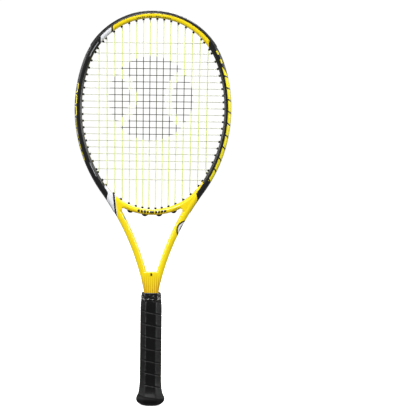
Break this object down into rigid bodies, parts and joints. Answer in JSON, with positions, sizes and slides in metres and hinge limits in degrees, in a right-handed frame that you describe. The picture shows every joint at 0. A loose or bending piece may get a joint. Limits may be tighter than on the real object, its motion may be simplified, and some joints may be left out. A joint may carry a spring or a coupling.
{
  "type": "tennis racket",
  "caption": "Strung tennis racket with an oval hollow-tube head, open throat, woven string bed, octagonal leather-wrapped grip and flared butt.",
  "frame": {"origin": "centre of the flat butt end", "axes": "+Z runs along the handle to the top of the head, +X runs across the head, and +Y runs through the beam, so the string bed faces along Y"},
  "size_m": [0.271, 0.0412, 0.6858],
  "materials": {
    "frame_paint": "gloss",
    "foam": "matte",
    "nylon": "satin",
    "main_string": "satin",
    "cross_string": "satin",
    "capsule_plastic": "satin",
    "bead_metal": "satin",
    "silicone": "satin",
    "grip_leather": "satin",
    "tape": "matte",
    "collar_rubber": "gloss",
    "cap_plastic": "satin",
    "door_plastic": "satin",
    "staple_steel": "satin"
  },
  "bodies": {
    "racket": {"frame_hairpin": "frame_paint", "throat_bridge": "frame_paint", "bridge_foam_core": "foam", "throat_gusset": "frame_paint", "bumper_guard": "nylon", "grommet_strip_left": "nylon", "grommet_strip_right": "nylon", "grommet_strip_throat": "nylon", "main_string": "main_string", "cross_string": "cross_string", "capsule_cups": "capsule_plastic", "capsule_lids": "capsule_plastic", "pallet_front": "foam", "pallet_back": "foam", "tube_end_plugs": "foam", "balance_slugs": "silicone", "base_grip": "grip_leather", "finishing_tape": "tape", "grip_collar": "collar_rubber", "butt_cap": "cap_plastic", "butt_cap_staples": "staple_steel"},
    "door": {"butt_cap_door": "door_plastic"},
    "beads_top_left": {"bead_charge_top_left": "bead_metal"},
    "beads_top_right": {"bead_charge_top_right": "bead_metal"},
    "beads_low_left": {"bead_charge_low_left": "bead_metal"},
    "beads_low_right": {"bead_charge_low_right": "bead_metal"}
  },
  "joints": [
    {"name": "door_pull", "type": "slide", "parent": "racket", "child": "door", "axis": [0, 0, -1], "range_m": [0, 0.02]},
    {"name": "beads_top_left_slide", "type": "slide", "parent": "racket", "child": "beads_top_left", "axis": [0, 1, 0], "range_m": [-0.0024, 0.0024]},
    {"name": "beads_top_right_slide", "type": "slide", "parent": "racket", "child": "beads_top_right", "axis": [0, 1, 0], "range_m": [-0.0024, 0.0024]},
    {"name": "beads_low_left_slide", "type": "slide", "parent": "racket", "child": "beads_low_left", "axis": [0, 1, 0], "range_m": [-0.0024, 0.0024]},
    {"name": "beads_low_right_slide", "type": "slide", "parent": "racket", "child": "beads_low_right", "axis": [0, 1, 0], "range_m": [-0.0024, 0.0024]}
  ]
}
